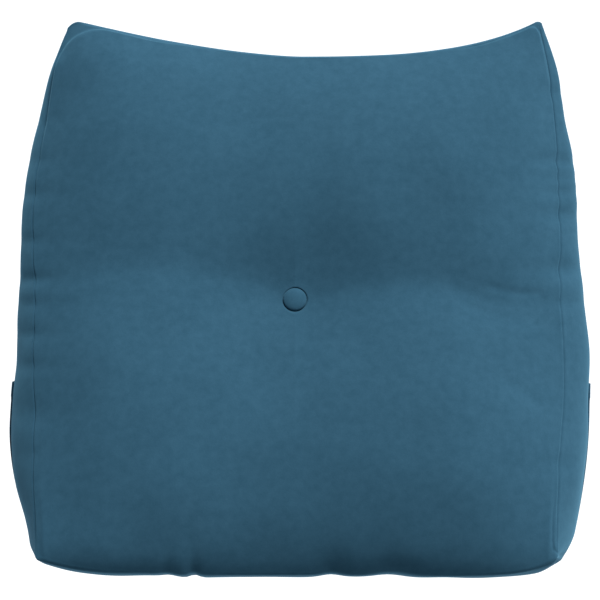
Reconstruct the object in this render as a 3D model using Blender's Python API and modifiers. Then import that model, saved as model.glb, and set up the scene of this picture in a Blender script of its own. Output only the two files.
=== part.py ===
"""Wedge-shaped back cushion with one covered button and a patch pocket on each side panel.

Metres, +Z up. The cushion lies on its flat back at Z = 0. Its thin top edge points to +Y, its
deep base to -Y, and its sloping front faces up. The origin is the middle of the outline, on the floor.
Places on the case are first worked out from the button, and then moved to that origin.
"""

import math
from typing import NamedTuple

import bmesh
import bpy
import numpy as np
from mathutils import Matrix, Vector
from mathutils.bvhtree import BVHTree

# Driving dimensions of the case
BASE_DEPTH = 0.185  # from the back to the front seam, at the base
TIP_DEPTH = 0.018  # the same at the tips of the top corners, which are flat ears
BASE_Y = -0.2635  # the base seam in the middle of its length
BASE_CORNER_RISE = 0.011  # how far the base seam's corners are rounded off
BASE_CORNER_POWER = 8
TOP_Y = 0.250  # the top seam in the middle
EAR_RISE = 0.041  # how far the ears stand above the middle of the top seam
LEFT_EAR_CURVE = 1.5  # how late the top seam rises to the left ear
RIGHT_EAR_CURVE = 3.1
BACK_LIFT = 0.010  # height of the back seam, where the back rolls up to the other panels
ORIGIN_X = -0.001  # middle of the outline, seen from the button's height on the middle line
ORIGIN_Y = 0.006

# Filling
CROWN = 0.074  # how far the front would stand above its seams, if nothing drew it in
CROWN_AT_TOP = 0.27  # the share of it that is left on the top seam
SIDE_ROLL = 0.270  # from a side seam to where the front is at its full crown
SIDE_POWER = 3.4  # the higher, the steeper the front rises from its seam
BASE_ROLL = 0.290
BASE_POWER = 3.4
TOP_ROLL = 0.153
TOP_POWER = 2.6
BASE_SWELL = 0.0128
BASE_SIDE_ROLL = 0.040  # from a corner to where the base is fully swollen
BASE_SIDE_POWER = 2.6
TOP_SWELL = 0.004
SWELL_POWER = 2.5

# Button and its tuft
BUTTON_X = -0.005
BUTTON_RADIUS = 0.0125
BUTTON_DOME = 0.0050
BUTTON_EDGE = 0.0030
BUTTON_STEPS = 24
DOME_STEPS = 5
BUTTON_LIFT = 0.050  # height over the tuft from which the button is lowered
HALF_SPAN = 0.26  # from the button to where the trough and the furrow have their end depths
FURROW_X = -0.035  # bottom line of the furrow that runs up the front

# Pockets
POCKET_TOP_Y = -0.0845  # its open edge
POCKET_THICKNESS = 0.0022
POCKET_INSET = 0.003  # from the seams that hold it
CLEARANCE = 0.0004  # between pieces that touch on the real cushion

# Lines of the case's cage, as shares of its half width and of its depth
COLUMN_LINES = (0.0, 0.05, 0.13, 0.30, 0.50, 0.70, 0.87, 1.0)
DEPTH_LINES = (0.0, 0.26, 0.56, 0.80, 1.0)  # a pocket's front edge lies on the middle one
ROWS_BELOW_POCKET_TOP = 11
ROWS_ABOVE_POCKET_TOP = 25
BACK_BORDER = 2  # rows and columns of the cage round the one flat face of the back
SEAM_CREASE = 0.55
ON_FACE = 0.9999  # lattice places past this lie on a face of the cube

BLUE = (0.040, 0.117, 0.195, 1.0)
CLOTH_ROUGHNESS = 0.9


class Section(NamedTuple):
    """Width of the case at one height: its side seams, and how far each side swells past them."""

    y: float
    left_seam: float
    right_seam: float
    left_swell: float
    right_swell: float


class Hollow(NamedTuple):
    """A sunk line or dimple: depth by the button and at both ends, fall-off and rounded bottom."""

    depth: float
    low_end: float
    high_end: float
    reach: float
    rounding: float


class Pucker(NamedTuple):
    """A short dent across a side seam: its side, height, depth and half width."""

    side: int
    y: float
    depth: float
    width: float


SECTIONS = (
    Section(-0.254, 0.2520, 0.2485, 0.009, 0.014),
    Section(-0.215, 0.2565, 0.2485, 0.021, 0.033),
    Section(-0.180, 0.2600, 0.2510, 0.028, 0.0365),
    Section(-0.140, 0.2615, 0.2550, 0.033, 0.038),
    Section(-0.100, 0.2625, 0.2600, 0.032, 0.035),
    Section(-0.055, 0.2655, 0.2620, 0.026, 0.035),
    Section(0.000, 0.2660, 0.2615, 0.025, 0.032),
    Section(0.055, 0.2700, 0.2635, 0.020, 0.027),
    Section(0.110, 0.2710, 0.2645, 0.016, 0.025),
    Section(0.185, 0.2620, 0.2626, 0.012, 0.0155),
    Section(0.245, 0.2545, 0.2578, 0.004, 0.012),
    Section(0.271, 0.2495, 0.2540, 0.000, 0.007),
    Section(0.291, 0.2360, 0.2470, 0.000, 0.004),
)

TROUGH = Hollow(0.009, 0.0225, 0.034, 0.087, 0.010)
FURROW = Hollow(0.039, 0.036, 0.0425, 0.135, 0.060)
TUFT = Hollow(0.016, 0.016, 0.016, 0.058, 0.012)

# Bottom line of the trough that crosses the front, as x and y
TROUGH_PATH = (
    (-0.265, 0.025),
    (-0.148, 0.031),
    (-0.098, 0.027),
    (-0.039, 0.015),
    (-0.005, 0.001),
    (0.030, 0.007),
    (0.098, 0.015),
    (0.148, 0.012),
    (0.177, 0.002),
    (0.262, -0.014),
)

PUCKERS = (
    Pucker(-1, 0.112, 0.005, 0.010),
    Pucker(-1, 0.026, 0.006, 0.012),
    Pucker(-1, -0.030, 0.004, 0.010),
    Pucker(-1, -0.108, 0.008, 0.014),
    Pucker(-1, -0.145, 0.004, 0.010),
    Pucker(1, 0.144, 0.006, 0.010),
    Pucker(1, 0.085, 0.004, 0.010),
    Pucker(1, 0.035, 0.004, 0.010),
    Pucker(1, -0.158, 0.005, 0.012),
)
PUCKER_REACH = 0.045


def through_sections(field, y):
    """Smooth curve through one column of the sections: cubic pieces that keep the slope."""
    at = np.array([section.y for section in SECTIONS])
    value = np.array([getattr(section, field) for section in SECTIONS])
    slope = np.gradient(value, at)
    y = np.clip(y, at[0], at[-1])
    i = np.clip(np.searchsorted(at, y) - 1, 0, len(at) - 2)
    step = at[i + 1] - at[i]
    t = (y - at[i]) / step
    from_start = (1 + 2 * t) * (1 - t) ** 2 * value[i] + t * (1 - t) ** 2 * step * slope[i]
    from_end = t**2 * (3 - 2 * t) * value[i + 1] - t**2 * (1 - t) * step * slope[i + 1]
    return from_start + from_end


def roll(distance, length, power):
    """Share of the crown at a distance from a seam: steep at the seam, level past the length."""
    left = np.clip(1 - distance / length, 0, 1)
    return 1 - left**power


def swell(share):
    """Swelling across a panel, from 0 at its two seams to 1 in its middle."""
    return 1 - np.abs(2 * share - 1) ** SWELL_POWER


def hollow_depth(hollow, distance, from_button):
    """Depth of a hollow at a distance from its bottom line and a signed one from the button."""
    end = np.where(from_button < 0, hollow.low_end, hollow.high_end)
    depth = hollow.depth + (end - hollow.depth) * np.clip(np.abs(from_button) / HALF_SPAN, 0, 1)
    past_bottom = np.hypot(distance, hollow.rounding) - hollow.rounding
    return depth * np.exp(-past_bottom / hollow.reach)


def relief(x, y):
    """Depth of the trough, the furrow and the button's tuft, summed, at places on the front."""
    path = np.interp(x, *np.transpose(TROUGH_PATH))
    trough = hollow_depth(TROUGH, y - path, x - BUTTON_X)
    furrow = hollow_depth(FURROW, x - FURROW_X, y)
    return trough + furrow + hollow_depth(TUFT, np.hypot(x - BUTTON_X, y), y)


def pucker_depth(u, v, y, distance):
    """Depth of the dents across the nearer side seam, at heights and distances from that seam."""
    total = np.zeros_like(y)
    for pucker in PUCKERS:
        dent = pucker.depth * np.exp(-(((y - pucker.y) / pucker.width) ** 2))
        total += np.where(u * pucker.side > 0, dent, 0)
    towards_ends = np.clip(4 * v * (1 - v), 0, 1)
    return total * towards_ends * np.exp(-distance / PUCKER_REACH)


def case_points(u, v, w):
    """Places on the case.

    u runs from -1 at the left seam to 1 at the right one, v from 0 at the base to 1 at the top
    seam, and w from 0 at the back to 1 at the front. The seams give each place its width and
    depth, the front then gets its crown and its dents, and the other panels their swelling.
    """
    reach = np.abs(u)
    ear_curve = np.where(u < 0, LEFT_EAR_CURVE, RIGHT_EAR_CURVE)
    bottom = BASE_Y + BASE_CORNER_RISE * reach**BASE_CORNER_POWER
    top = TOP_Y + EAR_RISE * reach**ear_curve
    y = bottom + (top - bottom) * v

    left = through_sections("left_seam", y)
    right = through_sections("right_seam", y)
    half_width = (right + left) / 2
    x = (right - left) / 2 + u * half_width
    height = (y - BASE_Y) / (TOP_Y + EAR_RISE - BASE_Y)
    seam_z = BASE_DEPTH + (TIP_DEPTH - BASE_DEPTH) * height

    from_side = (1 - reach) * half_width
    filled = CROWN_AT_TOP + (1 - CROWN_AT_TOP) * roll(top - y, TOP_ROLL, TOP_POWER)
    filled *= roll(from_side, SIDE_ROLL, SIDE_POWER) * roll(y - bottom, BASE_ROLL, BASE_POWER)
    front = seam_z + (CROWN - relief(x, y)) * filled
    front -= pucker_depth(u, v, y, from_side)
    z = BACK_LIFT + (front - BACK_LIFT) * w
    inside_back = (w <= 0) & (reach < 1) & (v > 0) & (v < 1)
    z = np.where(inside_back, 0, z)

    dent = pucker_depth(u, v, y, seam_z * (1 - w))
    left_side = through_sections("left_swell", y) * swell(w) - dent
    right_side = through_sections("right_swell", y) * swell(w) - dent
    x += np.where(u >= 1, right_side, 0) - np.where(u <= -1, left_side, 0)
    base_side = swell(w) * roll(from_side, BASE_SIDE_ROLL, BASE_SIDE_POWER)
    y -= np.where(v <= 0, BASE_SWELL * base_side, 0)
    y += np.where(v >= 1, TOP_SWELL * swell(w), 0)
    return np.stack((x - ORIGIN_X, y - ORIGIN_Y, z), axis=1)


def row_lines():
    """Rows of the cage from the base to the top seam, one of them on the pockets' top edge."""
    pocket_top = (POCKET_TOP_Y - BASE_Y) / (TOP_Y + EAR_RISE - BASE_Y)
    below = np.linspace(0, pocket_top, ROWS_BELOW_POCKET_TOP + 1)
    above = np.linspace(pocket_top, 1, ROWS_ABOVE_POCKET_TOP + 1)
    return np.concatenate((below, above[1:]))


def spread(share, lines):
    """Move evenly spaced lattice places, from 0 to 1, onto the given lines."""
    return np.interp(share, np.linspace(0, 1, len(lines)), lines)


def cut_lattice(bm, counts):
    """Cut a cube into columns, rows and layers, one direction at a time."""
    for axis, count in enumerate(counts):
        edges = [edge for edge in bm.edges if abs((edge.verts[0].co - edge.verts[1].co)[axis]) > 1]
        bmesh.ops.subdivide_edges(bm, edges=edges, cuts=count - 1, use_grid_fill=True)


def is_seam(middle):
    """Whether the middle of a lattice edge lies on a seam of the case."""
    faces = sum(abs(place) > ON_FACE for place in middle)
    if middle.y > ON_FACE:
        return abs(middle.x) > ON_FACE or abs(middle.z) < 1 - ON_FACE
    return faces == 2


def make_case(material, collection):
    """The filled case: a cube's lattice laid on the case's form, slightly creased at its seams."""
    columns = 2 * (len(COLUMN_LINES) - 1)
    rows = ROWS_BELOW_POCKET_TOP + ROWS_ABOVE_POCKET_TOP
    bm = bmesh.new()
    bmesh.ops.create_cube(bm, size=2)
    cut_lattice(bm, (columns, rows, len(DEPTH_LINES) - 1))

    inner_x = 1 - 2 * BACK_BORDER / columns
    inner_y = 1 - 2 * BACK_BORDER / rows
    flat_back = []
    under_pocket = bm.faces.layers.int.new("under_pocket")
    for face in bm.faces:
        middle = face.calc_center_median()
        if abs(middle.x) > ON_FACE and middle.z < 0:
            face[under_pocket] = round(middle.x)
        if middle.z < -ON_FACE and abs(middle.x) < inner_x and abs(middle.y) < inner_y:
            flat_back.append(face)
    bmesh.ops.dissolve_faces(bm, faces=flat_back)

    crease = bm.edges.layers.float.new("crease_edge")
    for edge in bm.edges:
        middle = (edge.verts[0].co + edge.verts[1].co) / 2
        edge[crease] = SEAM_CREASE if is_seam(middle) else 0

    at = np.round([vert.co for vert in bm.verts], 6)
    u = np.sign(at[:, 0]) * spread(np.abs(at[:, 0]), COLUMN_LINES)
    v = spread((at[:, 1] + 1) / 2, row_lines())
    w = spread((at[:, 2] + 1) / 2, DEPTH_LINES)
    for vert, place in zip(bm.verts, case_points(u, v, w)):
        vert.co = place

    case = add_object("cushion", bm, material, collection)
    smooth = case.modifiers.new("Smooth", "SUBSURF")
    smooth.levels = 1
    smooth.render_levels = 1
    return case


def evaluated(piece):
    """The piece's mesh as its modifiers leave it."""
    depsgraph = bpy.context.evaluated_depsgraph_get()
    bm = bmesh.new()
    bm.from_object(piece, depsgraph)
    return bm


def make_pocket(name, side, case, material, collection):
    """A patch of the side panel's own form, back half, laid just off it and given a thickness."""
    bm = evaluated(case)
    ground = bm.faces.layers.int["under_pocket"]
    top = POCKET_TOP_Y - ORIGIN_Y
    others = [face for face in bm.faces if face[ground] != side or face.calc_center_median().y > top]
    bmesh.ops.delete(bm, geom=others, context="FACES")
    border = bmesh.ops.inset_region(bm, faces=bm.faces[:], thickness=POCKET_INSET, use_boundary=True)
    bmesh.ops.delete(bm, geom=border["faces"], context="FACES")
    bm.normal_update()
    for vert in bm.verts:
        vert.co += vert.normal * CLEARANCE
    pocket = add_object(name, bm, material, collection)
    cloth = pocket.modifiers.new("Cloth", "SOLIDIFY")
    cloth.thickness = POCKET_THICKNESS
    cloth.offset = 1


def front_normal():
    """Direction in which the sloping front faces."""
    slope = (BASE_DEPTH - TIP_DEPTH) / (TOP_Y + EAR_RISE - BASE_Y)
    return Vector((0, slope, 1)).normalized()


def make_button(case, material, collection):
    """A covered button, a turned dome on a rounded edge, lowered into the tuft until it seats."""
    profile = []
    for step in range(DOME_STEPS + 1):
        angle = math.pi / 2 * step / DOME_STEPS
        profile.append((BUTTON_RADIUS * math.sin(angle), BUTTON_EDGE + BUTTON_DOME * math.cos(angle)))
    profile += [(BUTTON_RADIUS * 0.96, BUTTON_EDGE * 0.3), (BUTTON_RADIUS * 0.85, 0), (0, 0)]

    bm = bmesh.new()
    verts = [bm.verts.new((radius, 0, z)) for radius, z in profile]
    for first, second in zip(verts, verts[1:]):
        bm.edges.new((first, second))
    button = add_object("button", bm, material, collection)
    turn = button.modifiers.new("Turn", "SCREW")
    turn.steps = BUTTON_STEPS
    turn.render_steps = BUTTON_STEPS
    turn.use_merge_vertices = True
    turn.merge_threshold = 0.0001

    axis = front_normal()
    upright = axis.to_track_quat("Z", "Y")
    cloth = evaluated(case)
    surface = BVHTree.FromBMesh(cloth)
    cloth.free()
    above = Vector((BUTTON_X - ORIGIN_X, -ORIGIN_Y, 2 * BASE_DEPTH))
    tuft_bottom = surface.ray_cast(above, Vector((0, 0, -1)))[0]
    start = tuft_bottom + axis * BUTTON_LIFT
    drop = BUTTON_LIFT + BUTTON_DOME
    for radius, z in profile:
        for step in range(BUTTON_STEPS):
            angle = 2 * math.pi * step / BUTTON_STEPS
            ring = Vector((math.cos(angle), math.sin(angle), 0)) * radius
            drop = min(drop, surface.ray_cast(start + upright @ ring, -axis)[3] + z)
    button.matrix_world = Matrix.Translation(start - axis * (drop - CLEARANCE)) @ upright.to_matrix().to_4x4()


def make_material(name):
    """Plain cloth colour for one piece."""
    material = bpy.data.materials.new(name)
    material.use_nodes = True
    shader = material.node_tree.nodes["Principled BSDF"]
    shader.inputs["Base Color"].default_value = BLUE
    shader.inputs["Roughness"].default_value = CLOTH_ROUGHNESS
    shader.inputs["Metallic"].default_value = 0.0
    return material


def add_object(name, bm, material, collection):
    """Smooth-shaded object with the shape of a bmesh, which is freed."""
    mesh = bpy.data.meshes.new(name)
    bm.to_mesh(mesh)
    bm.free()
    mesh.materials.append(material)
    mesh.shade_smooth()
    piece = bpy.data.objects.new(name, mesh)
    collection.objects.link(piece)
    return piece


def main():
    """Clear the scene and build the cushion."""
    for old in list(bpy.data.objects):
        bpy.data.objects.remove(old)
    collection = bpy.data.collections.new("back_cushion")
    bpy.context.scene.collection.children.link(collection)
    case = make_case(make_material("case cloth"), collection)
    make_pocket("pocket_left", -1, case, make_material("left pocket cloth"), collection)
    make_pocket("pocket_right", 1, case, make_material("right pocket cloth"), collection)
    make_button(case, make_material("button cloth"), collection)


main()
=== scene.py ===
"""Dressed scene of a wedge-shaped back cushion, button-tufted, with a patch pocket on each side.

Metres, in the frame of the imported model: the cushion lies on its flat back at Z = 0, its thin top
edge points to +Y, its deep base to -Y, and its sloping front faces up to the camera.
"""

import logging
from dataclasses import dataclass, field
from enum import Enum
from functools import cached_property

import bpy
import numpy as np
from bpy.types import Material, Node, NodeSocket, NodeTree, Object
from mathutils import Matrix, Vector


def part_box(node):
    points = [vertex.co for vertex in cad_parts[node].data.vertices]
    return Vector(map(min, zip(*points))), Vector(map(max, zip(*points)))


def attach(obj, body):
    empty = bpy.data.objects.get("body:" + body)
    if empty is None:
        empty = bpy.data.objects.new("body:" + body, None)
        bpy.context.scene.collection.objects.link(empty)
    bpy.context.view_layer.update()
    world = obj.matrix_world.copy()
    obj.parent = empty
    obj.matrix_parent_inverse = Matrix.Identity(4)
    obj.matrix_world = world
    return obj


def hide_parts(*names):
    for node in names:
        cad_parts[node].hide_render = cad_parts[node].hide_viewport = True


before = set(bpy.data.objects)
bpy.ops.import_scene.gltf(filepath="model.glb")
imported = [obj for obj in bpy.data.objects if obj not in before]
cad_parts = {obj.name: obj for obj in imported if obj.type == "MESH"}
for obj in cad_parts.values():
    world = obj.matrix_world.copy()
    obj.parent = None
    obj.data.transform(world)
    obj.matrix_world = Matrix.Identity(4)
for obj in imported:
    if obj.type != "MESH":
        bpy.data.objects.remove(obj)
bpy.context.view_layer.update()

LOG = logging.getLogger("back cushion")

PHOTO_WIDTH = 600  # pixels
PHOTO_FOCAL = 1891.0  # focal length in pixels of the photograph
SENSOR_WIDTH = 36.0
CAMERA_DISTANCE = 2.0
ORIGIN_X = -0.001  # middle of the outline, seen from the camera's axis
ORIGIN_Y = 0.006
MM = 0.001
FAR = 1.0  # further than any two places on the cushion lie apart
TINY = 1e-6
LAMP_DISTANCE = 2.0

LINE_SAMPLES = 4001
CROWDING = 5.5  # extra density of the lines round the button
CROWDED_REACH = 0.0155

# The sockets of a Mix node go by number, because several share one name.
MIX_FACTOR = 0
MIX_VALUES = (2, 3)
MIX_COLOURS = (6, 7)
MIX_VALUE_OUT = 0
MIX_COLOUR_OUT = 2

Array = np.ndarray
Pair = tuple[float, float]
Triple = tuple[float, float, float]

WARM: Triple = (1.0, 0.94, 0.90)
WHITE: Triple = (1.0, 1.0, 1.0)


class Side(Enum):
    """Where a seam of the case lies, seen from the front."""

    LEFT = "left"
    RIGHT = "right"
    BASE = "base"

    @property
    def sign(self) -> int:
        """Sign of X there: 1 on the right and -1 on the left."""
        return 1 if self is Side.RIGHT else -1


def hex_to_linear(colour: str) -> tuple[float, float, float, float]:
    """Turn an sRGB hex colour into linear light, by the sRGB curve.

    Args:
        colour: Six hex digits, red first.

    Returns:
        Red, green, blue and an alpha of 1.
    """
    encoded = np.array([int(colour[start:start + 2], 16) for start in (0, 2, 4)]) / 255
    linear = np.where(encoded <= 0.04045, encoded / 12.92, ((encoded + 0.055) / 1.055) ** 2.4)
    return (*map(float, linear), 1.0)


def set_inputs(tree: NodeTree, node: Node, inputs: dict) -> None:
    """Fill the input sockets of a shader node.

    Args:
        tree: Node tree that holds the node.
        node: The node.
        inputs: For each input socket, a value or the output socket that feeds it.
    """
    for name, value in inputs.items():
        if isinstance(value, NodeSocket):
            tree.links.new(value, node.inputs[name])
        else:
            node.inputs[name].default_value = value


def add_node(tree: NodeTree, kind: str, settings: dict | None = None, inputs: dict | None = None) -> Node:
    """Add one shader node with its settings, values and links.

    Args:
        tree: Node tree that takes the node.
        kind: Blender's name of the node type.
        settings: Attributes of the node, by name.
        inputs: For each input socket, a value or the output socket that feeds it.

    Returns:
        The new node.
    """
    node = tree.nodes.new(kind)
    for name, value in (settings or {}).items():
        setattr(node, name, value)
    set_inputs(tree, node, inputs or {})
    return node


@dataclass(frozen=True)
class NoiseLayer:
    """Soft noise over the cloth: the size of its lumps, and how much finer detail they hold."""

    size_mm: float
    detail: float
    roughness: float

    def value(self, tree: NodeTree, place: NodeSocket) -> NodeSocket:
        """Add the noise to a node tree.

        Args:
            tree: Node tree that takes it.
            place: Coordinates in metres.

        Returns:
            The noise's value.
        """
        noise = add_node(tree, "ShaderNodeTexNoise", inputs={
            "Vector": place, "Scale": 1 / (self.size_mm * MM),
            "Detail": self.detail, "Roughness": self.roughness})
        return noise.outputs["Fac"]


@dataclass(frozen=True)
class NappedCloth:
    """Short-napped microfibre velvet: knitted polyester whose pile is brushed and cut.

    The nap scatters light at grazing angles, so the cloth is lighter where it turns away, and it
    lies unevenly, which gives soft patches of slightly different depth of colour.
    """

    name: str = "blue microfibre velvet"
    nap_light: str = "30556B"
    nap_dark: str = "294D62"
    sheen_tint: str = "7CC2E4"
    sheen: float = 0.30
    sheen_roughness: float = 0.50
    roughness: float = 0.92
    specular: float = 0.05
    patches: NoiseLayer = NoiseLayer(38.0, 3.0, 0.55)
    brushed: NoiseLayer = NoiseLayer(9.0, 4.0, 0.6)
    pile: NoiseLayer = NoiseLayer(1.6, 2.0, 0.6)  # really finer: drawn this coarse to show at all
    patch_share: float = 0.25  # of the patches in the colour; the brushed noise has the rest
    lie_range: Pair = (0.32, 0.68)  # noise that gives the dark and the light colour
    pile_range: Pair = (0.3, 0.7)
    speckle: Pair = (0.97, 1.03)  # brightness at the two ends of the pile's range
    bump_strength: float = 0.6
    pile_height: float = 0.12 * MM

    def material(self) -> Material:
        """Make the material, with the nap's patches in its colour and the pile in its bump.

        Returns:
            The material.
        """
        cloth = bpy.data.materials.new(self.name)
        cloth.use_nodes = True
        tree = cloth.node_tree
        place = add_node(tree, "ShaderNodeTexCoord").outputs["Object"]
        pile = self.pile.value(tree, place)
        lie = add_node(tree, "ShaderNodeMix", {"data_type": "FLOAT"}, {
            MIX_FACTOR: self.patch_share, MIX_VALUES[0]: self.brushed.value(tree, place),
            MIX_VALUES[1]: self.patches.value(tree, place)})
        spread = add_node(tree, "ShaderNodeMapRange", inputs={
            "Value": lie.outputs[MIX_VALUE_OUT],
            "From Min": self.lie_range[0], "From Max": self.lie_range[1]})
        shade = add_node(tree, "ShaderNodeMix", {"data_type": "RGBA"}, {
            MIX_FACTOR: spread.outputs["Result"], MIX_COLOURS[0]: hex_to_linear(self.nap_dark),
            MIX_COLOURS[1]: hex_to_linear(self.nap_light)})
        speckle = add_node(tree, "ShaderNodeMapRange", inputs={
            "Value": pile, "From Min": self.pile_range[0], "From Max": self.pile_range[1],
            "To Min": self.speckle[0], "To Max": self.speckle[1]})
        tint = add_node(tree, "ShaderNodeVectorMath", {"operation": "SCALE"}, {
            "Vector": shade.outputs[MIX_COLOUR_OUT], "Scale": speckle.outputs["Result"]})
        bump = add_node(tree, "ShaderNodeBump", inputs={
            "Height": pile, "Strength": self.bump_strength, "Distance": self.pile_height})
        set_inputs(tree, tree.nodes["Principled BSDF"], {
            "Base Color": tint.outputs["Vector"], "Normal": bump.outputs["Normal"],
            "Roughness": self.roughness, "Specular IOR Level": self.specular,
            "Sheen Weight": self.sheen, "Sheen Roughness": self.sheen_roughness,
            "Sheen Tint": hex_to_linear(self.sheen_tint)})
        return cloth


@dataclass(frozen=True)
class StudioPaper:
    """Seamless white background paper, matt: it shows no highlight, only one even white."""

    name: str = "white background paper"
    colour: str = "FFFFFF"
    roughness: float = 1.0
    specular: float = 0.0

    def material(self) -> Material:
        """Make the plain matt material.

        Returns:
            The material.
        """
        paper = bpy.data.materials.new(self.name)
        paper.use_nodes = True
        set_inputs(paper.node_tree, paper.node_tree.nodes["Principled BSDF"], {
            "Base Color": hex_to_linear(self.colour), "Roughness": self.roughness,
            "Specular IOR Level": self.specular})
        return paper


@dataclass(frozen=True)
class Lattice:
    """Shell of a box of parameter lines, in which points that sides share have one number."""

    u: Array
    v: Array
    w: Array

    @cached_property
    def number(self) -> Array:
        """Number the lattice points on the shell.

        Returns:
            Number of each point of the lattice, and -1 inside the shell.
        """
        shape = (len(self.u), len(self.v), len(self.w))
        on_shell = np.zeros(shape, bool)
        on_shell[[0, -1]] = True
        on_shell[:, [0, -1]] = True
        on_shell[:, :, [0, -1]] = True
        number = np.full(shape, -1)
        number[on_shell] = np.arange(on_shell.sum())
        return number

    def coordinates(self) -> tuple[Array, Array, Array]:
        """Give u, v and w of each numbered point."""
        at = np.argwhere(self.number >= 0)
        return self.u[at[:, 0]], self.v[at[:, 1]], self.w[at[:, 2]]

    def side(self, axis: int, end: int) -> Array:
        """Give the numbers on one side of the box, laid out so that its faces point outwards.

        Args:
            axis: 0, 1 or 2 for u, v or w.
            end: 0 for the low side and -1 for the high one.

        Returns:
            Numbers on a grid of two directions.
        """
        cut = np.moveaxis(self.number, axis, 0)[end]
        turned = cut.T if axis == 1 else cut
        return turned if end == -1 else turned.T

    def quads(self) -> Array:
        """Give the faces of all six sides.

        Returns:
            One row of four numbers for each face.
        """
        grids = [self.side(axis, end) for axis in range(3) for end in (0, -1)]
        corners = [(g[:-1, :-1], g[1:, :-1], g[1:, 1:], g[:-1, 1:]) for g in grids]
        return np.concatenate([np.stack([c.ravel() for c in four], 1) for four in corners])


def mesh_object(name: str, points: Array, *faces: Array) -> Object:
    """Make a smooth-shaded object from whole arrays.

    Args:
        name: Name of the object and its mesh.
        points: One row of X, Y and Z for each vertex.
        faces: Arrays with one row of vertex numbers for each face, one array for each number
            of corners.

    Returns:
        The object, linked to the scene.
    """
    corners = np.concatenate([rows.ravel() for rows in faces]).astype(np.int32)
    counts = np.concatenate([np.full(len(rows), rows.shape[1]) for rows in faces])
    mesh = bpy.data.meshes.new(name)
    mesh.vertices.add(len(points))
    mesh.vertices.foreach_set("co", np.ascontiguousarray(points, np.float32).ravel())
    mesh.loops.add(len(corners))
    mesh.loops.foreach_set("vertex_index", corners)
    mesh.polygons.add(len(counts))
    mesh.polygons.foreach_set("loop_start", (np.cumsum(counts) - counts).astype(np.int32))
    mesh.update(calc_edges=True)
    mesh.validate()
    mesh.shade_smooth()
    piece = bpy.data.objects.new(name, mesh)
    bpy.context.scene.collection.objects.link(piece)
    return piece


def vertex_normals(piece: Object) -> Array:
    """Give one unit normal for each vertex of a piece.

    Args:
        piece: The mesh object.

    Returns:
        One row of X, Y and Z for each vertex.
    """
    normals = np.empty(len(piece.data.vertices) * 3, np.float32)
    piece.data.vertex_normals.foreach_get("vector", normals)
    return normals.reshape(-1, 3).astype(float)


def graded_lines(length: float, spacing: Triple, middle: float | None = None) -> Array:
    """Share out lines from 0 to 1 so that they crowd at both ends and round one place.

    The lines lie at equal steps of the running sum of a density, which is 1 in the open, rises
    to wide / narrow at both ends, and is 6.5 within some 15 mm of the middle place.

    Args:
        length: Real length that the lines cross, in metres.
        spacing: Wide distance between lines in the open, narrow one at the ends, and the reach
            of the narrow ones.
        middle: Share of the length round which the lines crowd too.

    Returns:
        Line places from 0 to 1.
    """
    wide, narrow, reach = spacing
    share = np.linspace(0, 1, LINE_SAMPLES)
    place = share * length
    at_ends = np.exp(-place / reach) + np.exp((place - length) / reach)
    density = 1 + (wide / narrow - 1) * at_ends
    if middle is not None:
        density += CROWDING * np.exp(-((share - middle) * length / CROWDED_REACH) ** 4)
    total = np.concatenate(([0], np.cumsum((density[1:] + density[:-1]) / 2)))
    count = int(round(total[-1] / (len(share) - 1) * length / wide))
    return np.interp(np.linspace(0, total[-1], count + 1), total, share)


def smooth_through(at: Array, value: Array, place: Array) -> Array:
    """Read a smooth curve through points: cubic pieces that keep the slope at each point.

    Args:
        at: Rising places of the points.
        value: Values at the points.
        place: Places to read, held within the first and the last point.

    Returns:
        The curve's values.
    """
    slope = np.gradient(value, at)
    place = np.clip(place, at[0], at[-1])
    i = np.clip(np.searchsorted(at, place) - 1, 0, len(at) - 2)
    step = at[i + 1] - at[i]
    t = (place - at[i]) / step
    from_start = (1 + 2 * t) * (1 - t) ** 2 * value[i] + t * (1 - t) ** 2 * step * slope[i]
    from_end = t**2 * (3 - 2 * t) * value[i + 1] - t**2 * (1 - t) * step * slope[i + 1]
    return from_start + from_end


def smooth_step(share: Array) -> Array:
    """Ease a share from 0 to 1, level at both ends: three squares less two cubes."""
    held = np.clip(share, 0, 1)
    return held**2 * (3 - 2 * held)


def bell(distance: Array, width: float) -> Array:
    """Fall from 1 with the distance, to 1 / e at the width: a bell curve."""
    return np.exp(-(distance / width) ** 2)


def wave_noise(points: Array, wavelength: float, seed: int, waves: int = 28,
               spread: Pair = (0.7, 1.6)) -> Array:
    """Soft uneven relief: the mean of plane waves of like length in random directions.

    Args:
        points: Places, one row each.
        wavelength: Middle wavelength in metres.
        seed: Seed of the directions and phases.
        waves: Number of waves.
        spread: Shortest and longest wave, as shares of the middle one.

    Returns:
        Values of about -1 to 1.
    """
    random = np.random.default_rng(seed)
    direction = random.normal(size=(waves, points.shape[1]))
    direction /= np.linalg.norm(direction, axis=1, keepdims=True)
    length = wavelength * random.uniform(*spread, waves)
    phase = random.uniform(0, 2 * np.pi, waves)
    angle = points @ (direction / length[:, None]).T * 2 * np.pi + phase
    return np.sin(angle).sum(axis=1) / np.sqrt(waves)


@dataclass(frozen=True)
class Section:
    """Width of the case at one height: its side seams, and how far each side swells past them."""

    y: float
    left_seam: float
    right_seam: float
    left_swell: float
    right_swell: float


@dataclass(frozen=True)
class Hollow:
    """Profile of a sunk line or dimple: its depth, and how it fades and rounds off."""

    depth: float
    reach: float
    rounding: float

    def fade(self, distance: Array) -> Array:
        """Share of the depth at a distance: an exponential fall with a rounded bottom."""
        return np.exp((self.rounding - np.hypot(distance, self.rounding)) / self.reach)


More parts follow.
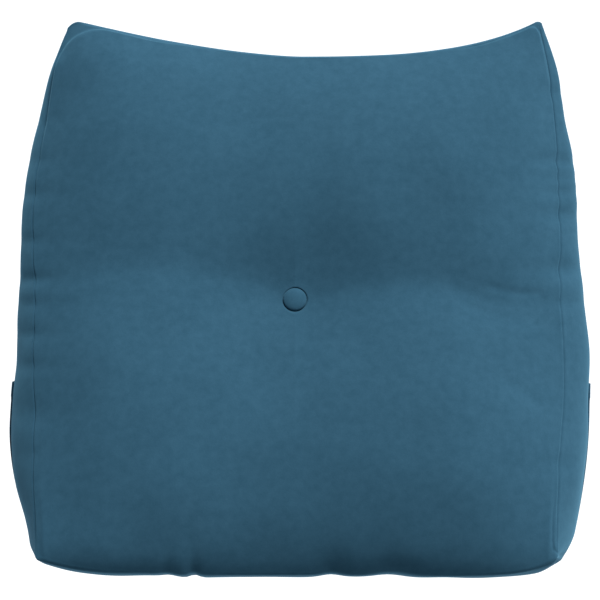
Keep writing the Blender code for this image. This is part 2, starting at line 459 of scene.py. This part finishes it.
@dataclass(frozen=True)
class Place:
    """Places on the case where the seams alone hold them, before it swells.

    Each has its parameters, its X and Y, the height of the front seams there, and its distances
    from the nearer side seam, the base seam and the top seam.
    """

    u: Array
    v: Array
    w: Array
    x: Array
    y: Array
    seam_z: Array
    from_side: Array
    from_base: Array
    from_top: Array

    def pick(self, pair: tuple) -> Array:
        """Give each place the left or the right one of two values."""
        return np.where(self.u < 0, *pair)


@dataclass(frozen=True)
class Pucker:
    """A dent across a front seam: its place along that seam, its depth and half width."""

    side: Side
    place: float
    depth: float
    width: float


def puckers_along(side: Side, *rows: Triple) -> tuple[Pucker, ...]:
    """Make the puckers of one seam from rows of place, depth and half width."""
    return tuple(Pucker(side, *row) for row in rows)


@dataclass(frozen=True)
class Crease:
    """A fold line across the front: its path, depth and half width.

    A negative depth lifts the cloth in a broad swelling round the path.
    """

    path: tuple[Pair, ...]
    depth: float
    width: float

    def relief(self, at: Place) -> Array:
        """Depth at each place, which falls off with the distance from the path.

        Args:
            at: The places.

        Returns:
            Depth below the front without the crease.
        """
        nearest = np.full(at.x.shape, FAR)
        for (start_x, start_y), (end_x, end_y) in zip(self.path, self.path[1:]):
            run_x, run_y = end_x - start_x, end_y - start_y
            x, y = at.x - start_x, at.y - start_y
            share = np.clip((x * run_x + y * run_y) / (run_x**2 + run_y**2), 0, 1)
            nearest = np.minimum(nearest, np.hypot(x - share * run_x, y - share * run_y))
        return self.depth * bell(nearest, self.width)


@dataclass(frozen=True)
class EarStep:
    """Where the filling ends short of a top corner, in a rounded rim over the flat ear.

    The rim rounds the corner with its radius. Inside it the height rises over the edge and fades
    towards the middle. It lies the gap below the top seam, or past it where the gap is negative.
    """

    side: Side
    radius: float
    height: float
    edge: float
    fade: float
    top_gap: float


@dataclass(frozen=True)
class WedgeForm:
    """The case's form as a function of u, v and w.

    u runs from -1 at the left seam to 1 at the right one, v from 0 at the base to 1 at the top
    seam, and w from 0 at the back to 1 at the front. A pair of values is for left and right.
    """

    # Depth between the front and back seams, at the base and at the ears' tips.
    base_depth: float = 0.185
    tip_depth: float = 0.018
    # The base seam, which rises to its corners.
    base_y: float = -0.2652
    base_corner_rises: Pair = (0.016, 0.0165)
    base_corner_powers: Pair = (5.5, 10.0)
    # How the base corners belly out and round off between the front and the back.
    corner_shares: Pair = (0.2, 0.64)
    corner_radii: Pair = (0.013, 0.025)
    corner_power: float = 8.0
    corner_reach: float = 0.030
    end_stretch: float = 0.12
    # A low swelling of the front over the base seam.
    base_hump: float = 0.0044
    base_hump_reach: float = 0.026
    hump_side_fade: float = 0.008
    # The top seam, hollow between the two ears.
    top_y: float = 0.2510
    ear_rise: float = 0.041
    ear_curves: Pair = (1.5, 3.1)
    ear_radii: Pair = (0.0120, 0.0070)
    # The back seams, lifted off the floor by the back's rounded edge.
    back_lift: float = 0.010
    back_edge: float = 0.022
    # The front's crown, and how it rolls off to the seams.
    crown: float = 0.074
    crown_at_top: float = 0.27
    side_roll: float = 0.270
    side_power: float = 3.4
    base_roll: float = 0.290
    base_power: float = 3.4
    top_roll: float = 0.153
    top_power: float = 2.6
    # The swelling of the base and the top strip.
    base_swell: float = 0.0095
    base_side_roll: float = 0.045
    base_side_power: float = 2.6
    top_swell: float = 0.0028
    swell_power: float = 2.5
    # The button's seat.
    button_x: float = -0.005
    seat_z: float = 0.1182
    seat_radius: float = 0.0111
    seat_wall: float = 0.0014
    seat_height: float = 0.0028
    seat_reach: float = 0.018
    # The tuft, the trough across and the furrow up the front, with their depths at both ends.
    tuft: Hollow = Hollow(0.016, 0.058, 0.012)
    trough: Hollow = Hollow(0.009, 0.087, 0.010)
    trough_ends: Pair = (0.0225, 0.034)
    furrow: Hollow = Hollow(0.039, 0.135, 0.060)
    furrow_ends: Pair = (0.031, 0.037)
    furrow_x: float = -0.035
    half_span: float = 0.26
    # How far puckers run into the cloth, and down the base as a share of its depth.
    pucker_reach: float = 0.020
    base_dent_fade: float = 0.3
    sections: tuple[Section, ...] = tuple(Section(*row) for row in (
        (-0.254, 0.2540, 0.2470, 0.0110, 0.0180), (-0.215, 0.2565, 0.2485, 0.0187, 0.0284),
        (-0.180, 0.2600, 0.2510, 0.0261, 0.0334), (-0.140, 0.2615, 0.2550, 0.0307, 0.0349),
        (-0.100, 0.2625, 0.2600, 0.0292, 0.0325), (-0.055, 0.2655, 0.2620, 0.0233, 0.0320),
        (0.000, 0.2660, 0.2615, 0.0223, 0.0293), (0.055, 0.2700, 0.2635, 0.0170, 0.0232),
        (0.110, 0.2710, 0.2645, 0.0143, 0.0211), (0.150, 0.2668, 0.2640, 0.0129, 0.0192),
        (0.185, 0.2620, 0.2626, 0.0103, 0.0134), (0.245, 0.2545, 0.2578, 0.0042, 0.0104),
        (0.271, 0.2492, 0.2534, 0.0000, 0.0070), (0.291, 0.2415, 0.2494, 0.0000, 0.0040),
    ))
    trough_path: tuple[Pair, ...] = (
        (-0.265, 0.025), (-0.148, 0.031), (-0.098, 0.027), (-0.039, 0.015), (-0.005, 0.001),
        (0.030, 0.007), (0.098, 0.015), (0.148, 0.012), (0.177, 0.002), (0.262, -0.014),
    )
    puckers: tuple[Pucker, ...] = (
        *puckers_along(
            Side.LEFT, (0.184, 0.0008, 0.007), (0.143, 0.0010, 0.007), (0.108, 0.0014, 0.008),
            (0.060, 0.0010, 0.007), (0.021, 0.0016, 0.008), (-0.004, 0.0010, 0.006),
            (-0.034, 0.0012, 0.007), (-0.066, 0.0010, 0.007), (-0.112, 0.0018, 0.014),
            (-0.152, 0.0008, 0.009)),
        *puckers_along(
            Side.RIGHT, (0.215, 0.0024, 0.007), (0.142, 0.0026, 0.007), (0.125, 0.0016, 0.005),
            (0.110, 0.0018, 0.006), (0.087, 0.0020, 0.008), (0.031, 0.0022, 0.010),
            (-0.002, 0.0012, 0.007), (-0.160, 0.0018, 0.010)),
        *puckers_along(
            Side.BASE, (-0.152, 0.0022, 0.028), (-0.103, 0.0030, 0.006), (-0.128, 0.0020, 0.009),
            (0.030, 0.0022, 0.012), (0.088, 0.0034, 0.020)),
    )
    ear_steps: tuple[EarStep, ...] = (
        EarStep(Side.LEFT, 0.048, 0.0115, 0.0024, 0.050, -0.0006),
        EarStep(Side.RIGHT, 0.012, 0.0035, 0.0030, 0.035, 0.0),
    )
    # Two folds at the right of the trough and one below them, the double line by the lower right
    # corner, two lifts, a dip over the base and the left ear's notch.
    creases: tuple[Crease, ...] = (
        Crease(((0.192, 0.013), (0.212, 0.007), (0.238, 0.006)), 0.0010, 0.0045),
        Crease(((0.170, -0.008), (0.196, -0.018), (0.232, -0.022)), 0.0008, 0.0050),
        Crease(((0.200, -0.077), (0.232, -0.101)), 0.0009, 0.0045),
        Crease(((0.2470, -0.196), (0.2440, -0.205), (0.2428, -0.232), (0.2440, -0.2400),
                (0.2470, -0.2425)), 0.0010, 0.0010),
        Crease(((-0.020, 0.100), (0.050, 0.100)), -0.0060, 0.0640),
        Crease(((0.180, -0.165), (0.235, -0.165)), -0.0065, 0.0600),
        Crease(((-0.055, -0.262), (0.005, -0.262)), 0.0075, 0.0650),
        Crease(((-0.2415, 0.291), (-0.2490, 0.262)), 0.0050, 0.0120),
    )

    @property
    def length(self) -> float:
        """Distance from the base seam to the tips of the ears."""
        return self.top_y + self.ear_rise - self.base_y

    @property
    def width(self) -> float:
        """Distance between the side seams at the button's height."""
        level = next(section for section in self.sections if section.y == 0)
        return level.left_seam + level.right_seam

    @property
    def slope(self) -> float:
        """Fall of the front seams for each metre towards the tips."""
        return (self.base_depth - self.tip_depth) / self.length

    def through_sections(self, column: str, y: Array) -> Array:
        """Read a smooth curve through one column of the sections."""
        at = np.array([section.y for section in self.sections])
        return smooth_through(at, np.array([getattr(s, column) for s in self.sections]), y)

    def roll(self, distance: Array, length: float, power: float) -> Array:
        """Share of the crown at a distance from a seam: one less a falling power of the rest."""
        return 1 - np.clip(1 - distance / length, 0, 1) ** power

    def swell(self, share: Array) -> Array:
        """Swelling across a panel, from 0 at its two seams to 1 in its middle."""
        return 1 - np.abs(2 * share - 1) ** self.swell_power

    def ends(self, u: Array) -> tuple[Array, Array]:
        """Give the base seam and the top seam across the width.

        Both are powers of the distance from the middle. The tips of the ears are then cut back
        along a quarter circle.

        Args:
            u: Places across the width.

        Returns:
            Y of the base seam and of the top seam.
        """
        reach = np.abs(u)
        ear_curve, rise, power, rounding = (
            np.where(u < 0, *pair) for pair in (
                self.ear_curves, self.base_corner_rises, self.base_corner_powers, self.ear_radii)
        )
        short = np.clip(rounding - (1 - reach) * self.half_span, 0, None)
        rounded = rounding - np.sqrt(rounding**2 - short**2)
        top = self.top_y + self.ear_rise * reach**ear_curve - rounded
        return self.base_y + rise * reach**power, top

    def sewn(self, u: Array, v: Array, w: Array) -> Place:
        """Lay places out between the seams, whose front ones fall evenly from base to tips.

        Args:
            u: Places across the width.
            v: Places along the height.
            w: Places through the depth.

        Returns:
            The places, before the case swells.
        """
        bottom, top = self.ends(u)
        y = bottom + (top - bottom) * v
        left = self.through_sections("left_seam", y)
        right = self.through_sections("right_seam", y)
        half_width = (right + left) / 2
        x = (right - left) / 2 + u * half_width
        seam_z = self.base_depth - self.slope * (y - self.base_y)
        return Place(u, v, w, x, y, seam_z, (1 - np.abs(u)) * half_width, y - bottom, top - y)

    def relief(self, at: Place) -> Array:
        """Depth of the trough across the front, the furrow up it and the button's tuft, summed.

        Args:
            at: The places.

        Returns:
            Depth below the full crown.
        """
        path = smooth_through(*np.array(self.trough_path).T, at.x)
        aside = np.clip(np.abs(at.x - self.button_x) / self.half_span, 0, 1)
        end = np.where(at.x < self.button_x, *self.trough_ends)
        across = self.trough.depth + (end - self.trough.depth) * aside
        away = np.clip(np.abs(at.y) / self.half_span, 0, 1)
        end = np.where(at.y < 0, *self.furrow_ends)
        upright = self.furrow.depth + (end - self.furrow.depth) * away
        total = across * self.trough.fade(at.y - path)
        total += upright * self.furrow.fade(at.x - self.furrow_x)
        return total + self.tuft.depth * self.tuft.fade(np.hypot(at.x - self.button_x, at.y))

    def seat(self, at: Place, front: Array) -> Array:
        """Press the button's flat seat into the front, with the cloth closing round it.

        Args:
            at: The places.
            front: Height of the front there, without the seat.

        Returns:
            Height of the front with the seat.
        """
        outside = np.hypot(at.x - self.button_x, at.y) - self.seat_radius
        raised = front + self.seat_height * np.exp(-np.maximum(outside, 0) / self.seat_reach)
        under = self.seat_z - self.slope * at.y
        return under + (raised - under) * smooth_step(outside / self.seat_wall)

    def dents(self, at: Place, base: bool = False) -> Array:
        """Depth of the puckers along the nearer side seam, or the base seam, fading at its ends.

        Args:
            at: The places.
            base: Whether to give the base seam's puckers, and not the side seams'.

        Returns:
            Depth of the dents, at the seam.
        """
        total = np.zeros_like(at.y)
        for pucker in self.puckers:
            if (pucker.side is Side.BASE) != base:
                continue
            here = base or at.u * pucker.side.sign > 0
            depth = pucker.depth * bell((at.x if base else at.y) - pucker.place, pucker.width)
            total += np.where(here, depth, 0)
        along = (at.u + 1) / 2 if base else at.v
        return total * np.clip(4 * along * (1 - along), 0, 1)

    def ear_filling(self, at: Place) -> Array:
        """Height of the filled corner inside its rim, and none on the flat ear outside it.

        Args:
            at: The places.

        Returns:
            Height to add to the front.
        """
        total = np.zeros_like(at.u)
        for step in self.ear_steps:
            below = step.radius + step.top_gap - at.from_top
            short = np.hypot(np.maximum(step.radius - at.from_side, 0), np.maximum(below, 0))
            near = bell(np.hypot(at.from_side, at.from_top), 2 * step.fade)
            height = step.height * smooth_step((step.radius - short) / step.edge) * near
            total += np.where(at.u * step.side.sign > 0, height, 0)
        return total

    def heights(self, at: Place, dent: Array, base_dent: Array) -> Array:
        """Height of every place, once the front has its crown, troughs, puckers and folds.

        The side, base and top panels run evenly from the back up to the front. The back lies
        flat, and rises to its seams in a square curve.

        Args:
            at: The places.
            dent: Depth of the side seams' puckers.
            base_dent: Depth of the base seam's puckers.

        Returns:
            Z of each place.
        """
        at_top = self.roll(at.from_top, self.top_roll, self.top_power)
        filled = self.crown_at_top + (1 - self.crown_at_top) * at_top
        filled *= self.roll(at.from_side, self.side_roll, self.side_power)
        filled *= self.roll(at.from_base, self.base_roll, self.base_power)
        front = at.seam_z + (self.crown - self.relief(at)) * filled
        front += self.ear_filling(at)
        front = self.seat(at, front)
        hump = at.from_base / self.base_hump_reach
        hump_share = np.clip(at.from_side / self.hump_side_fade, 0, 1)
        front += self.base_hump * hump * np.exp(1 - hump) * hump_share
        front -= dent * np.exp(-at.from_side / self.pucker_reach)
        front -= base_dent * np.exp(-at.from_base / self.pucker_reach)
        front -= sum(crease.relief(at) for crease in self.creases)
        back_edge = np.minimum(at.from_side, np.minimum(at.from_base, at.from_top))
        back = self.back_lift * np.clip(1 - back_edge / self.back_edge, 0, 1) ** 2
        return np.where(at.w <= 0, back, self.back_lift + (front - self.back_lift) * at.w)

    def outline(self, at: Place, dent: Array, base_dent: Array) -> tuple[Array, Array]:
        """X and Y of every place, once the side, base and top panels swell past their seams.

        Args:
            at: The places.
            dent: Depth of the side seams' puckers.
            base_dent: Depth of the base seam's puckers.

        Returns:
            X and Y of each place.
        """
        on_side, on_base, on_top = np.abs(at.u) >= 1, at.v <= 0, at.v >= 1
        swell = self.swell(at.w)
        past_seam = at.from_side + at.seam_z * (1 - at.w)
        side_dent = dent * np.exp(-past_seam / self.pucker_reach)
        side_swell = swell * at.pick((
            self.through_sections("left_swell", at.y), self.through_sections("right_swell", at.y)))
        stretch = np.clip(1 - at.from_side / self.end_stretch, 0, 1) ** 2
        held = np.where(on_side, 1, np.where(on_base | on_top, stretch, 0))
        inward, up = self.corner_shift(at)
        x = at.x + np.sign(at.u) * (side_swell * held - side_dent - inward)

        share = at.pick(self.corner_shares)
        at_corner = self.roll(at.from_side, self.base_side_roll, self.base_side_power)
        base_out = self.base_swell * swell * (share + (1 - share) * at_corner)
        round_corner = np.exp(-(at.from_base + up) / self.corner_reach)
        out = np.where(on_base, base_out, np.where(on_side, base_out * round_corner, 0))
        in_dent = base_dent * np.exp(-at.from_base / self.pucker_reach)
        y = at.y + up - out + np.where(on_top, self.top_swell * swell, 0)
        return x, y + in_dent * np.clip(at.w / self.base_dent_fade, 0, 1)

    def corner_shift(self, at: Place) -> tuple[Array, Array]:
        """Move of the base corners, which belly out and round off between front and back.

        At mid depth the corner takes back the seam's rise and then turns along a quarter circle,
        whose two halves the side panel and the base share.

        Args:
            at: The places.

        Returns:
            The move towards the middle of the width, and the move up.
        """
        rise, power, share, radius = map(at.pick, (
            self.base_corner_rises, self.base_corner_powers, self.corner_shares, self.corner_radii))
        on_side, on_base = np.abs(at.u) >= 1, at.v <= 0
        full = 1 - np.abs(2 * at.w - 1) ** self.corner_power
        near = np.abs(at.u) ** (2 * power) * np.exp(-at.from_base / self.corner_reach)
        drop = rise * share * full * near
        radius = np.maximum(radius * full, TINY)
        run = np.where(on_side, at.from_base, at.from_side)
        turn = np.pi / 4 * np.clip(1 - run / radius, 0, 1)
        away = radius * (1 - np.cos(turn))
        along = np.where(run < radius, radius * (1 - np.sin(turn)) - run, 0)
        inward = np.where(on_side, away, np.where(on_base, along, 0))
        up = np.where(on_side, along, np.where(on_base, away, 0))
        return inward, up - np.where(on_side | on_base, drop, 0)

    def points(self, u: Array, v: Array, w: Array, dented: bool = True) -> Array:
        """Place points of the case.

        The seams give each place its width and depth. The front then gets its crown, less the
        troughs and the puckers, and the other panels get their swelling.

        Args:
            u: Places across the width.
            v: Places along the height.
            w: Places through the depth.
            dented: Whether the puckers are pressed in.

        Returns:
            One row of X, Y and Z for each place.
        """
        at = self.sewn(u, v, w)
        dent = self.dents(at) * dented
        base_dent = self.dents(at, base=True) * dented
        x, y = self.outline(at, dent, base_dent)
        z = self.heights(at, dent, base_dent)
        return np.stack((x - ORIGIN_X, y - ORIGIN_Y, z), axis=1)


@dataclass
class CushionCase:
    """The filled case: front, back, base and side panels sewn into one closed wedge."""

    form: WedgeForm
    cloth: Material
    face_lines: Triple = (0.0048, 0.0005, 0.0065)
    depth_lines: Triple = (0.0050, 0.0007, 0.006)
    button_share: Pair = (0.495, 0.515)  # where the lines crowd, across and along
    groove_depth: float = 0.0009
    groove_width: float = 0.0008
    base_relief: float = 0.65  # share of the groove that the base seam, pulled smooth, lacks
    base_relief_reach: float = 0.008
    ridge_height: float = 0.00015
    ridge_place: float = 0.0030
    ridge_width: float = 0.0014
    lump_height: float = 0.0006
    lump_length: float = 0.070
    lump_fade: float = 0.03
    rest_fade: float = 0.004  # height over the floor below which nothing is moved
    seed: int = 3
    piece: Object = field(init=False)
    lattice: Lattice = field(init=False)
    surface: Array = field(init=False)

    def build(self) -> Object:
        """Make the case's mesh, sew its seams in and dress it.

        Returns:
            The case.
        """
        form = self.form
        across = graded_lines(form.width, self.face_lines, self.button_share[0])
        along = graded_lines(form.length, self.face_lines, self.button_share[1])
        through = graded_lines(form.base_depth, self.depth_lines)
        self.lattice = Lattice(2 * across - 1, along, through)
        self.surface = form.points(*self.lattice.coordinates())
        self.piece = mesh_object("wedge_case", self.surface, self.lattice.quads())
        self.press_seams()
        self.dress()
        return self.piece

    def dress(self) -> None:
        """Give the case its cloth, hang it from the body's empty, and hide the model's cushion."""
        self.piece.data.materials.append(self.cloth)
        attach(self.piece, "root")
        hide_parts("cushion")

    def seam_distance(self) -> Array:
        """Measure how far the seams lie, along the lines of each vertex's own panel.

        Returns:
            Distance of each vertex from the nearest seam.
        """
        distance = np.full(len(self.surface), FAR)
        for axis in range(3):
            for end in (0, -1):
                numbers = self.lattice.side(axis, end)
                grid = self.surface[numbers]
                near = np.full(numbers.shape, FAR)
                for direction in range(2):
                    step = np.linalg.norm(np.diff(grid, axis=direction), axis=2)
                    run = np.insert(np.cumsum(step, axis=direction), 0, 0, axis=direction)
                    near = np.minimum(near, self.edge_distance(axis, end, direction, run))
                distance[numbers] = np.minimum(distance[numbers], near)
        return distance

    def edge_distance(self, axis: int, end: int, direction: int, run: Array) -> Array:
        """Distance from the two edges of a panel that a direction ends at, where they are seams.

        The front and the back run on into the top without a seam, and the top's one seam lies
        along its middle.

        Args:
            axis: 0, 1 or 2 for a panel across u, v or w.
            end: 0 for the low panel and -1 for the high one.
            direction: 0 or 1, along the panel's rows or its columns.
            run: Distance of each place from the direction's first edge.

        Returns:
            Distance of each place from the nearest seam of the direction.
        """
        total = np.take(run, [-1], axis=direction)
        if axis == 1 and end == -1 and direction == 0:
            return np.abs(run - total / 2)
        if axis == 2 and direction == (1 if end == -1 else 0):
            return run
        return np.minimum(run, total - run)

    def press_seams(self) -> None:
        """Press a groove along every seam, with a low ridge of turned-in cloth beside it."""
        form = self.form
        distance = self.seam_distance()
        above_base = self.lattice.coordinates()[1] * (form.top_y - form.base_y)
        depth = self.groove_depth * (1 - self.base_relief * bell(above_base, self.base_relief_reach))
        groove = depth * bell(distance, self.groove_width)
        ridge = self.ridge_height * bell(distance - self.ridge_place, self.ridge_width)
        lumps = self.lump_height * wave_noise(self.surface, self.lump_length, self.seed)
        lumps *= np.clip(distance / self.lump_fade, 0, 1)
        resting = np.clip(self.surface[:, 2] / self.rest_fade, 0, 1)
        move = (ridge - groove + lumps) * resting
        self.surface = self.surface + vertex_normals(self.piece) * move[:, None]
        self.piece.data.vertices.foreach_set("co", self.surface.astype(np.float32).ravel())
        self.piece.data.update()


@dataclass
class CoveredButton:
    """A button mould with the case's cloth stretched over it, pulled down into the tuft."""

    cloth: Material
    axis: Vector
    radius: float = 0.0117
    dome: float = 0.0036
    edge: float = 0.0032
    sunk: float = 0.0022
    first_ring: float = 0.02  # share of the profile that the closing fan takes
    face_share: float = 0.62  # share of the profile that the domed face takes
    tuck: float = 0.16  # share of the radius by which the rolled edge turns in
    gathers: int = 22
    gather_depth: float = 0.00012
    gather_start: float = 0.40
    gather_reach: float = 0.30
    rings: int = 28
    spokes: int = 88
    piece: Object = field(init=False)

    def build(self) -> Object:
        """Set the turned button on its axis in the tuft and dress it.

        Returns:
            The button.
        """
        low, high = (np.array(corner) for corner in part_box("button"))
        axis = np.array(self.axis)
        foot = (low + high) / 2 - axis * ((self.dome + self.edge) / 2 + self.sunk)
        side = np.cross(np.array([0.0, 1.0, 0.0]), axis)
        side /= np.linalg.norm(side)
        points = foot + self.turned() @ np.stack((side, np.cross(axis, side), axis))
        self.piece = mesh_object("covered_button", points, *self.faces())
        self.dress()
        return self.piece

    def turned(self) -> Array:
        """Turn the profile, a quarter ellipse over a rolled edge, and gather its rim.

        Returns:
            X, Y and Z along the button's own axes: every ring, then the top and the foot.
        """
        turn = np.linspace(0, 2 * np.pi, self.spokes, endpoint=False)
        share = np.linspace(self.first_ring, 1, self.rings)[:, None]
        quarter = np.clip(share / self.face_share, 0, 1) * np.pi / 2
        rolled = np.clip((share - self.face_share) / (1 - self.face_share), 0, 1) * np.pi / 2
        radius = self.radius * np.sin(quarter) * (1 - self.tuck * (1 - np.cos(rolled)))
        height = self.edge + self.dome * np.cos(quarter) - self.edge * np.sin(rolled)
        fold = np.clip((share - self.gather_start) / self.gather_reach, 0, 1)
        across = radius + self.gather_depth * fold * np.cos(self.gathers * turn)
        height = np.broadcast_to(height, across.shape)
        rings = np.stack((across * np.cos(turn), across * np.sin(turn), height), 2)
        ends = np.array([[0, 0, self.edge + self.dome], [0, 0, 0]])
        return np.concatenate((rings.reshape(-1, 3), ends))

    def faces(self) -> tuple[Array, Array]:
        """Join the rings into a wall, and close it with a fan at the top and one at the foot.

        Returns:
            The wall's quads, and the triangles of both fans.
        """
        number = np.arange(self.rings * self.spokes).reshape(self.rings, self.spokes)
        after = np.roll(number, -1, axis=1)
        walls = np.stack((number[:-1], number[1:], after[1:], after[:-1]), 2).reshape(-1, 4)
        top, foot = np.full(self.spokes, number.size), np.full(self.spokes, number.size + 1)
        fans = (top, number[0], after[0]), (foot, after[-1], number[-1])
        return walls, np.concatenate([np.stack(fan, 1) for fan in fans])

    def dress(self) -> None:
        """Give the button its cloth, hang it from the body's empty, and hide the model's button."""
        self.piece.data.materials.append(self.cloth)
        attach(self.piece, "root")
        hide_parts("button")


@dataclass
class SidePocket:
    """A patch pocket on the back half of a side panel, with a turned hem at its open edge.

    Its lower end and its back edge are caught in the seams, and its front edge is stitched down
    just behind the side's widest line, so that the front view shows only a thin step there.
    """

    side: Side
    form: WedgeForm
    cloth: Material
    mouth_y: float = -0.0905
    front_edge: float = 0.57  # share of the side's depth that the patch covers
    gap: float = 0.0004
    slack: float = 0.0010
    slack_reach: float = 0.045
    slack_power: float = 0.7
    thickness: float = 0.0012
    hem_width: float = 0.018
    hem_extra: float = 0.0005
    hem_step: float = 0.0004
    hem_stitch: float = 0.0015  # of the hem's stitches, above its lower edge
    stitch_inset: float = 0.0030
    stitch_dip: float = 0.0004
    stitch_width: float = 0.0010
    inset: float = 0.0030
    count: int = 72
    piece: Object = field(init=False)

    def build(self) -> Object:
        """Lay the patch on the side panel's undented form and give it its thickness.

        Returns:
            The pocket.
        """
        form = self.form
        rows = np.linspace(self.inset, self.mouth_y - form.base_y, self.count) / form.length
        columns = np.linspace(self.inset / form.base_depth, self.front_edge, self.count)
        lattice = Lattice(np.array([0.0, 1.0]), rows, columns)
        layer, v, w = lattice.coordinates()
        outer = layer if self.side is Side.RIGHT else 1 - layer
        below_mouth = (rows[-1] - v) * form.length
        behind_edge = (self.front_edge - w) * form.base_depth

        skin = self.skin(rows, columns)
        normal = np.cross(np.gradient(skin, axis=0), np.gradient(skin, axis=1))
        normal *= self.side.sign / np.linalg.norm(normal, axis=2, keepdims=True)
        at = np.searchsorted(rows, v), np.searchsorted(columns, w)
        points = skin[at] + normal[at] * self.offset(outer, below_mouth, behind_edge)[:, None]
        self.piece = mesh_object(f"patch_pocket_{self.side.value}", points, lattice.quads())
        self.dress(skin)
        return self.piece

    def skin(self, rows: Array, columns: Array) -> Array:
        """Give the panel's surface under the patch.

        Args:
            rows: Places along the height.
            columns: Places through the depth.

        Returns:
            X, Y and Z on a grid of rows and columns.
        """
        v, w = np.meshgrid(rows, columns, indexing="ij")
        u = np.full(v.size, float(self.side.sign))
        return self.form.points(u, v.ravel(), w.ravel(), dented=False).reshape(*v.shape, 3)

    def offset(self, outer: Array, below_mouth: Array, behind_edge: Array) -> Array:
        """Distance of the patch from the panel.

        The patch gapes a little at its mouth, is thicker over its hem, and dips along its two
        rows of stitches.

        Args:
            outer: 1 on the patch's outer face and 0 on its inner one.
            below_mouth: Distance down from the open edge.
            behind_edge: Distance back from the front edge.

        Returns:
            Distance outwards from the panel.
        """
        hem = 1 / (1 + np.exp((below_mouth - self.hem_width) / self.hem_step))
        across = np.clip(behind_edge / (self.front_edge * self.form.base_depth), 0, 1)
        gape = np.exp(-below_mouth / self.slack_reach) * np.sin(np.pi * across) ** self.slack_power
        dips = bell(behind_edge - self.stitch_inset, self.stitch_width)
        dips += bell(below_mouth - self.hem_width + self.hem_stitch, self.stitch_width)
        thickness = self.thickness + self.hem_extra * hem - self.stitch_dip * dips
        return self.gap + self.slack * gape + outer * thickness

    def dress(self, skin: Array) -> None:
        """Give the pocket its cloth, hang it from the body's empty, and hide the model's pocket.

        Args:
            skin: The panel's surface under the patch, on a grid. It is not used.
        """
        self.piece.data.materials.append(self.cloth)
        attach(self.piece, "root")
        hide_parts(f"pocket_{self.side.value}")


@dataclass(frozen=True)
class Lamp:
    """A large soft lamp, so far off that its light falls evenly.

    Its bearing is from +X towards +Y, its height is over the floor, and its spread is the angle
    that it fills as seen from the cushion, all in degrees. Its strength is in watts per square
    metre, and its tint is linear.
    """

    name: str
    bearing: float
    height: float
    spread: float
    strength: float
    tint: Triple

    def hang(self, lit: list[Object]) -> None:
        """Hang the lamp over some objects alone.

        Args:
            lit: The objects that take its light, and that alone cast shadows in it.
        """
        lamp = bpy.data.lights.new(self.name, "SUN")
        lamp.energy = self.strength
        lamp.color = self.tint
        lamp.angle = np.radians(self.spread)
        bearing, height = np.radians((self.bearing, self.height))
        level = np.cos(height)
        towards = Vector((level * np.cos(bearing), level * np.sin(bearing), np.sin(height)))
        holder = bpy.data.objects.new(self.name, lamp)
        holder.location = LAMP_DISTANCE * towards
        holder.rotation_euler = (-towards).to_track_quat("-Z", "Y").to_euler()
        bpy.context.scene.collection.objects.link(holder)
        receivers = bpy.data.collections.new(f"lit by the {self.name}")
        for piece in lit:
            receivers.objects.link(piece)
        holder.light_linking.receiver_collection = receivers
        holder.light_linking.blocker_collection = receivers


@dataclass
class Studio:
    """White paper floor, soft lamps from the upper right, and the camera over the front."""

    paper: Material
    floor_size: float = 14.0
    sky: float = 0.23
    sky_tint: Triple = (0.80, 0.93, 1.0)
    key: Lamp = Lamp("key lamp", 69.0, 28.0, 24.0, 4.9, WARM)
    side: Lamp = Lamp("side lamp", 0.0, 11.31, 60.0, 0.7, WARM)
    overhead: Lamp = Lamp("paper lamp", 0.0, 90.0, 60.0, 3.3, WHITE)

    def build(self, pieces: list[Object]) -> None:
        """Set up the floor, the lights and the camera.

        Args:
            pieces: The cushion's pieces, which the key and the side lamp light.
        """
        floor = self.lay_floor()
        self.light_sky()
        self.key.hang(pieces)
        self.side.hang(pieces)
        self.overhead.hang([floor])
        self.place_camera()

    def lay_floor(self) -> Object:
        """Lay the paper at the height that the cushion rests on.

        Returns:
            The floor.
        """
        half = self.floor_size / 2
        corners = half * np.array([[-1, -1, 0], [1, -1, 0], [1, 1, 0], [-1, 1, 0]])
        floor = mesh_object("paper_floor", corners, np.array([[0, 1, 2, 3]]))
        floor.data.materials.append(self.paper)
        return floor

    def light_sky(self) -> None:
        """Fill the room with weak even light."""
        world = bpy.data.worlds.new("soft studio")
        world.use_nodes = True
        set_inputs(world.node_tree, world.node_tree.nodes["Background"], {
            "Color": (*self.sky_tint, 1), "Strength": self.sky})
        bpy.context.scene.world = world

    def place_camera(self) -> None:
        """Hold the camera straight over the photograph's middle, looking down with +Y up."""
        lens = bpy.data.cameras.new("photo camera")
        lens.sensor_width = SENSOR_WIDTH
        lens.lens = SENSOR_WIDTH * PHOTO_FOCAL / PHOTO_WIDTH
        camera = bpy.data.objects.new("photo camera", lens)
        camera.location = (-ORIGIN_X, -ORIGIN_Y, CAMERA_DISTANCE)
        bpy.context.scene.collection.objects.link(camera)
        bpy.context.scene.camera = camera
        bpy.context.scene.view_settings.view_transform = "Standard"


def main() -> None:
    """Build the pieces in order and report each."""
    logging.basicConfig(level=logging.INFO, format="%(name)s: %(message)s")
    form = WedgeForm()
    cloth = NappedCloth().material()
    makers = [
        CushionCase(form, cloth),
        CoveredButton(cloth, Vector((0, form.slope, 1)).normalized()),
        SidePocket(Side.LEFT, form, cloth),
        SidePocket(Side.RIGHT, form, cloth, mouth_y=-0.0940),
    ]
    pieces = []
    for maker in makers:
        pieces.append(maker.build())
        LOG.info("%s: %d faces", pieces[-1].name, len(pieces[-1].data.polygons))
    Studio(StudioPaper().material()).build(pieces)


if __name__ == "__main__":
    main()
